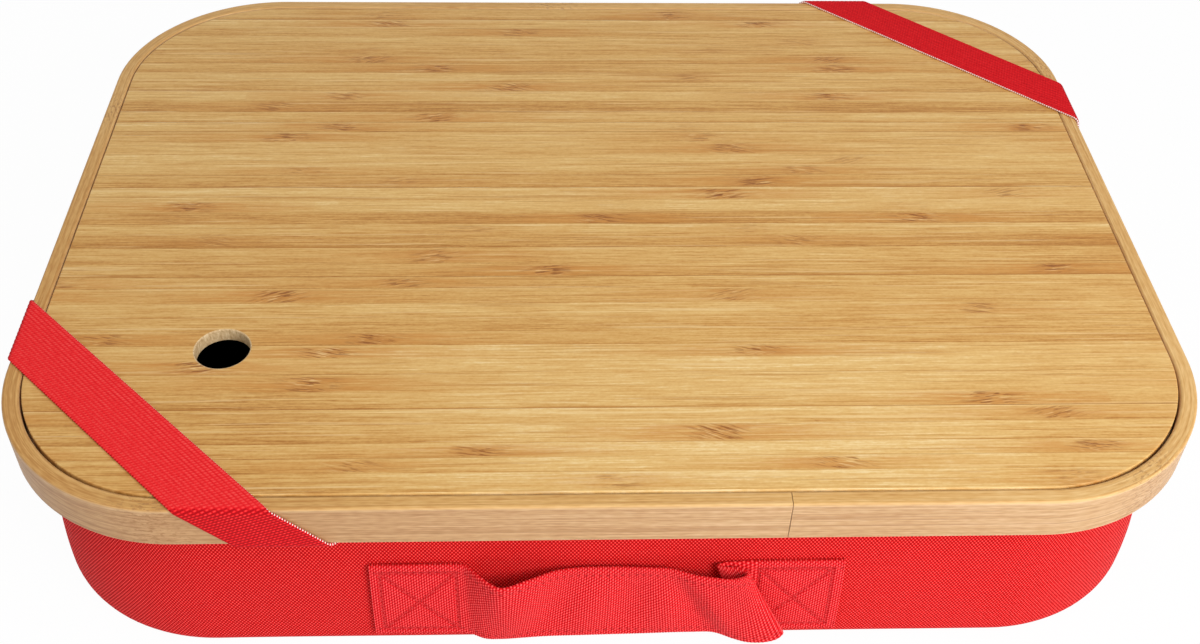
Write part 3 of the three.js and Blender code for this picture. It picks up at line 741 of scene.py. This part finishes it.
def smoothPath(points, perSpan):
    # centripetal Catmull-Rom: each span is a cubic whose end slopes come from its neighbours
    knots = np.concatenate([[0], np.cumsum(np.linalg.norm(np.diff(points, axis=0), axis=1) ** 0.5)])
    slope = np.gradient(points, knots, axis=0)
    place = np.arange((len(points) - 1) * perSpan + 1) / perSpan
    i = np.minimum(place.astype(int), len(points) - 2)
    t = (place - i)[:, None]
    span = (knots[i + 1] - knots[i])[:, None]
    return (points[i] * (1 + 2 * t) * (1 - t) ** 2 + span * slope[i] * t * (1 - t) ** 2
            + points[i + 1] * t * t * (3 - 2 * t) + span * slope[i + 1] * t * t * (t - 1))


def slackEdge(stations, edgeZ):
    # one edge of the webbing: sewn end, slack, sewn end, as (x, stand-off from the wall, z)
    off = handle["gap"] + handle["thickness"] / 2
    slack = [(loopLeft + handle["span"] * along, handle["depth"] * away, edgeZ + handle["depth"] * rise)
             for along, away, rise in stations]
    stops = np.array([(loopLeft, off, edgeZ), *slack, (loopRight, off, edgeZ)])
    loop = smoothPath(stops, handle["spanSteps"])
    ends = np.linspace(0, 1, handle["patchSteps"], endpoint=False)[:, None]
    left = between(np.array([loopLeft - handle["patch"], off, edgeZ]), loop[0], ends)
    right = between(np.array([loopRight + handle["patch"], off, edgeZ]), loop[-1], ends)[::-1]
    return np.concatenate([left, loop, right])


def boxStitch(left, right):
    # sewing lines on one sewn end, as pairs of (x, z): a box with both diagonals
    low, high = handle["topZ"] - handle["width"] + handle["boxLow"], handle["topZ"] - handle["boxTop"]
    box = [(left, high), (right, high), (right, low), (left, low)]
    return [(box[k], box[(k + 1) % 4]) for k in range(4)] + [(box[0], box[2]), (box[1], box[3])]


def seamDepth(x, z, lines):
    # how far the sewing pulls the webbing in, as a share: a narrow bell beside each line
    depth = np.zeros_like(x)
    for (x0, z0), (x1, z1) in lines:
        length = (x1 - x0) ** 2 + (z1 - z0) ** 2
        t = np.clip(((x - x0) * (x1 - x0) + (z - z0) * (z1 - z0)) / length, 0, 1)
        away = np.hypot(x - x0 - t * (x1 - x0), z - z0 - t * (z1 - z0))
        depth = np.maximum(depth, np.exp(-(away / handle["seamWidth"]) ** 2))
    return depth


def webbingFinish():
    # columns of bright float threads, shifted by half a column from row to row
    # the marks are 1 along the sewing, where the webbing is drawn in
    f = Finish("redWebbing")
    along, across = f.flat()
    half = handle["width"] / 2 * mm
    fuzz = f.noise((along, 700), (across, 700))
    slanted = f.scaled(across, 2 * handle["dotAlong"] / handle["dotAcross"], along)
    columns = f.wave(along, handle["dotAlong"] * mm)
    rows = f.wave(slanted, 2 * handle["dotAlong"] * mm)
    lit = f.total(f.scaled(rows, 0.26, f.scaled(columns, 0.34, 0.5)), (fuzz, 0.3))
    colour = f.ramp(lit, handle["tones"])
    # seam along each edge: a drawn-in line, painted dark as shade in its groove, with a bright stitch in each
    # length of it
    toEdge = f.minus(half, f.calc("ABSOLUTE", f.minus(across, half)))
    seam = f.bell(f.over(f.minus(toEdge, handle["seam"] * mm), 0.5 * mm), 1.0)
    stitch = f.step(f.wave(along, handle["stitch"] * mm), -0.3, 0.3)
    thread = f.mix(stitch, tint(*handle["paintedSeamShade"]), tint(*handle["seamStitch"]))
    colour = f.mix(f.times(seam, 0.55), colour, thread)
    # painted shade: darker where the sewing draws the webbing in
    colour = f.paint(colour, f.mark(), *handle["sewn"])
    f.bump(f.minus(lit, f.times(seam, 0.6)), 0.00025, 0.6)
    return f.done(colour, 0.82, **clothGloss)


def threadFinish():
    f = Finish("sewingThread")
    x, y, z = f.place()
    twist = f.wave(f.plus(f.plus(x, z), y), 0.0009)
    f.bump(twist, 0.0001, 0.5)
    return f.done(f.ramp(f.scaled(twist, 0.5, 0.5), [(0.0, (196, 6, 18)), (1.0, (240, 50, 54))]), 0.6)


def slackWeb():
    # the middle surface of the webbing in rows of even length, with their places along and across it
    upper = slackEdge(slackUpper, handle["topZ"])
    lower = slackEdge(slackLower, handle["topZ"] - handle["width"])
    length = lengthAlong(offWall(*((upper + lower) / 2).T))
    even = np.linspace(0, length[-1], int(length[-1] / handle["step"]))
    upper, lower = (lastAxis(*(np.interp(even, length, part) for part in edge.T)) for edge in (upper, lower))
    share = (1 - np.cos(np.linspace(0, np.pi, handle["across"]))) / 2
    x, away, z = np.moveaxis(between(upper[:, None], lower[:, None], share[:, None]), -1, 0)
    # soft waves where the slack hangs free, slanted a little and fading out at its ends
    slack = even - handle["patch"]
    free = (np.clip((slack - handle["waveFrom"]) / handle["fadeIn"], 0, 1)
            * np.clip((handle["waveTo"] - slack) / handle["fadeOut"], 0, 1))
    turns = even[:, None] / handle["waveLength"] + handle["waveSlant"] * share
    bulge = 4 * share * (1 - share)
    away = away + handle["waveReach"] * free[:, None] * np.sin(2 * np.pi * turns + handle["waveShift"]) * bulge
    # a slanted hollow before the fold: the webbing steps outwards as u exp(-u^2 / 2)
    hollowX = handle["middleX"] + handle["span"] * (handle["hollowAt"] + handle["hollowSlant"] * share)
    u = (x - hollowX) / handle["hollowWidth"]
    before = np.arange(len(even)) < np.argmax(x[:, -1])
    inner = between(handle["hollowAtEdge"], 1, bulge)
    away = away + handle["hollowReach"] * u * np.exp(-u * u / 2) * before[:, None] * inner
    return offWall(x, away, z), even, share


def makeHandle():
    web, even, share = slackWeb()
    patch = handle["patch"]
    forward, sideways = np.gradient(web, axis=0), np.gradient(web, axis=1)
    normal = unit(np.cross(sideways, forward))
    # thinner, scalloped edges where the weft turns back
    edge = np.minimum(share, 1 - share) * handle["width"]
    thin = np.sqrt(1 - handle["edgeThin"] * np.clip(1 - edge / handle["edgeWidth"], 0, 1) ** 2)
    half = handle["thickness"] / 2 * thin[None, :, None]
    scallop = 0.5 + 0.5 * np.sin(2 * np.pi * even / handle["selvage"])
    fringe = np.exp(-(edge / handle["scallopWidth"]) ** 2) * np.where(share < 0.5, -1, 1)
    web = web + unit(sideways) * (fringe[None] * scallop[:, None] * handle["scallop"])[..., None]
    # the sewing draws the front in, and the sewn ends are pressed on the wall
    (leftFrom, leftTo), (rightFrom, rightTo) = handle["leftBox"], handle["rightBox"]
    lines = (boxStitch(loopLeft - patch + leftFrom, loopLeft - leftTo)
             + boxStitch(loopRight + rightFrom, loopRight + patch - rightTo))
    toEnd = np.minimum(even, even[-1] - even)
    ends = toEnd < patch
    sewn = np.zeros(web.shape[:2])
    sewn[ends] = seamDepth(web[ends][..., 0], web[ends][..., 2], lines)
    front = web + normal * (half - handle["seamPull"] * sewn[..., None])
    pressed = np.clip((patch + handle["pressFade"] - toEnd) / handle["pressFade"], 0, 1)[:, None, None]
    back = web - normal * between(half, handle["thickness"] / 2 + handle["pressDepth"], pressed)
    points = np.concatenate([front, back[:, ::-1]], 1)
    marks = np.concatenate([sewn, 0 * sewn], 1)
    girth = handle["backShare"]
    across = np.concatenate([share, girth - share[::-1], [girth]]) * handle["width"]
    cut = int(np.argmax(web[:, 0, 0] > handle["middleX"]))
    finish = webbingFinish()
    pieces = []
    for name, rows, nodes in (("handleLeft", slice(0, cut + 1), ("handle_left_end", "handle_loop")),
                              ("handleRight", slice(cut, None), ("handle_right_end", "handle_loop"))):
        piece = gridPiece(name, points[None, rows], pathUv(even[rows], across), [finish], marks=marks[rows])
        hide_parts(*nodes)
        pieces.append(piece)
    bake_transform(pieces[0])
    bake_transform(pieces[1])
    makeStitches(lines)


def makeStitches(lines):
    # each stitch is a short thread that rises out of the webbing and dives back: a bent spindle
    starts, ends = [], []
    for first, last in np.array(lines):
        count = int(np.hypot(*(last - first)) / handle["stitch"])
        t = np.arange(count)[:, None]
        starts.append(first + (last - first) * (t + handle["stitchFrom"]) / count)
        ends.append(first + (last - first) * (t + handle["stitchTo"]) / count)
    start, end = np.concatenate(starts), np.concatenate(ends)
    run = np.linspace(0, 1, handle["stitchSteps"])
    flat = between(start[:, None], end[:, None], run[:, None])
    sunk = handle["gap"] + handle["thickness"] - handle["stitchSunk"]
    spine = offWall(flat[..., 0], sunk + handle["stitchRise"] * np.sin(np.pi * run), flat[..., 1])
    thick = handle["stitchRadius"] * np.sin(np.pi * (0.12 + 0.76 * run)) ** 0.6
    direction = unit(end - start)
    side = lastAxis(-direction[:, 1], 0, direction[:, 0])[:, None, None]
    turn = np.linspace(0, 2 * np.pi, handle["stitchSides"], endpoint=False)[:, None]
    ring = side * np.cos(turn) + np.array([0, -1, 0]) * np.sin(turn)
    points = spine[:, :, None] + ring * thick[None, :, None, None]
    uv = np.zeros((len(points), handle["stitchSteps"] + 1, handle["stitchSides"] + 1, 2))
    piece = gridPiece("handleStitches", points, uv, [threadFinish()])
    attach(piece, "base")


# Pieces of the frame that keep their own shape

def steelFinish():
    f = Finish("stapleWire")
    x, y, z = f.place()
    drawn = f.noise((x, 2500), (y, 2500), (z, 300))
    colour = f.ramp(drawn, [(0.3, (168, 168, 170)), (0.7, (208, 208, 210))])
    f.bump(drawn, 0.00002, 0.4)
    return f.done(colour, f.scaled(drawn, 0.2, 0.25), Metallic=1.0)


def hardboardFinish():
    f = Finish("hardboard")
    x, y, z = f.place()
    pulp = f.noise((x, 700), (y, 700), (z, 700), 4, 0.65)
    f.bump(pulp, 0.0001, 0.5)
    return f.done(f.ramp(pulp, [(0.3, (88, 62, 42)), (0.5, (112, 82, 58)), (0.75, (138, 104, 76))]), 0.75)


def dressFrame():
    wire, fibre = steelFinish(), hardboardFinish()
    for name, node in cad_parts.items():
        if "staple" in name or name == "base_stiffener":
            node.data.materials.clear()
            node.data.materials.append(fibre if name == "base_stiffener" else wire)


# Studio, in metres: white floor, a large soft key from the front right, a weak fill, a top light, an even sky

studio = dict(
    skyLight=0.36, floorGlow=0.97, floorColour=(0.9, 0.9, 0.9, 1), white=(1, 1, 1, 1), floorHalf=6,
    lights=dict(
        key=dict(place=(0.62, -0.85, 0.66), aim=(0.05, -0.05, 0.05), size=0.6, power=9.5),
        fill=dict(place=(-1.1, -0.9, 0.8), aim=(0, 0, 0.05), size=1.0, power=1.4),
        top=dict(place=(0.1, -0.45, 1.2), aim=(0, -0.08, 0), size=0.9, power=3.7),
    ),
)


def seenRay(nodes):
    # 1 for rays that carry the picture of the background: seen straight, in gloss or through glass
    path = nodes.put("ShaderNodeLightPath", {}).outputs
    straight = nodes.calc("MAXIMUM", path["Is Camera Ray"], path["Is Glossy Ray"])
    return nodes.calc("MAXIMUM", straight, path["Is Transmission Ray"])


def makeFloor():
    # white paper: it glows for the camera so that it reads white, and keeps a faint shadow
    f = Finish("whitePaper")
    f.tree.nodes.remove(f.shader)
    matte = f.put("ShaderNodeBsdfDiffuse", {"Color": studio["floorColour"]}).outputs[0]
    glow = f.put("ShaderNodeEmission", {"Color": studio["white"]}).outputs[0]
    share = f.times(seenRay(f), studio["floorGlow"])
    surface = f.put("ShaderNodeMixShader", {0: share, 1: matte, 2: glow}).outputs[0]
    f.feed(f.tree.nodes["Material Output"].inputs["Surface"], surface)
    mesh = bpy.data.meshes.new("floor")
    half = studio["floorHalf"]
    corners = [(-half, -half, 0), (half, -half, 0), (half, half, 0), (-half, half, 0)]
    mesh.from_pydata(corners, [], [(0, 1, 2, 3)])
    mesh.materials.append(f.owner)
    floor = placed("floor", mesh)


def makeLight(name, place, aim, size, power):
    lamp = bpy.data.lights.new(name, "AREA")
    lamp.shape, lamp.size, lamp.energy = "DISK", size, power
    holder = placed(name, lamp)
    holder.location = place
    holder.rotation_euler = Vector(np.subtract(aim, place)).to_track_quat("-Z", "Y").to_euler()


def makeStudio():
    nodes = Nodes(bpy.data.worlds.new("studioSky"))
    bpy.context.scene.world = nodes.owner
    sky = nodes.tree.nodes["Background"]
    sky.inputs["Color"].default_value = studio["white"]
    strength = nodes.put("ShaderNodeMapRange", {"Value": seenRay(nodes), "To Min": studio["skyLight"]})
    nodes.feed(sky.inputs["Strength"], strength.outputs[0])
    for name, light in studio["lights"].items():
        makeLight(name, **light)
    print("studio:", len(studio["lights"]), "lights")


# Camera: place in millimetres, angles in degrees and focal length in pixels, from the fit to the photograph

camera = dict(place=(-21.7, -458.1, 450.2), pitch=43.32, yaw=2.93, roll=1.71, focal=1424.1, imageWidth=1200,
              sensorWidth=36, clip=(0.01, 50))


def makeCamera():
    pitch, yaw, roll = np.radians([camera["pitch"], camera["yaw"], camera["roll"]])
    ahead = np.array([np.sin(yaw) * np.cos(pitch), np.cos(yaw) * np.cos(pitch), -np.sin(pitch)])
    right = np.array([np.cos(yaw), -np.sin(yaw), 0])
    up = np.cross(right, ahead)
    rightTurned = np.cos(roll) * right + np.sin(roll) * up
    upTurned = np.cos(roll) * up - np.sin(roll) * right
    data = bpy.data.cameras.new("photoCamera")
    data.sensor_width = camera["sensorWidth"]
    data.lens = camera["focal"] * camera["sensorWidth"] / camera["imageWidth"]
    data.clip_start, data.clip_end = camera["clip"]
    holder = placed("photoCamera", data)
    axes = np.eye(4)
    axes[:3] = lastAxis(rightTurned, upTurned, -ahead, np.array(camera["place"]) * mm)
    holder.matrix_world = Matrix(axes.tolist())
    bpy.context.scene.camera = holder


bentBamboo = rimFinish()
makeBoard()
makeRim(bentBamboo)
makeLedge(bentBamboo)
makeTub()
makeLining()
for name, corner in strapCorners.items():
    makeStrap(name, corner)
makeHandle()
dressFrame()
makeFloor()
makeStudio()
makeCamera()
bpy.context.scene.view_settings.view_transform = "Standard"
print("scene ready")
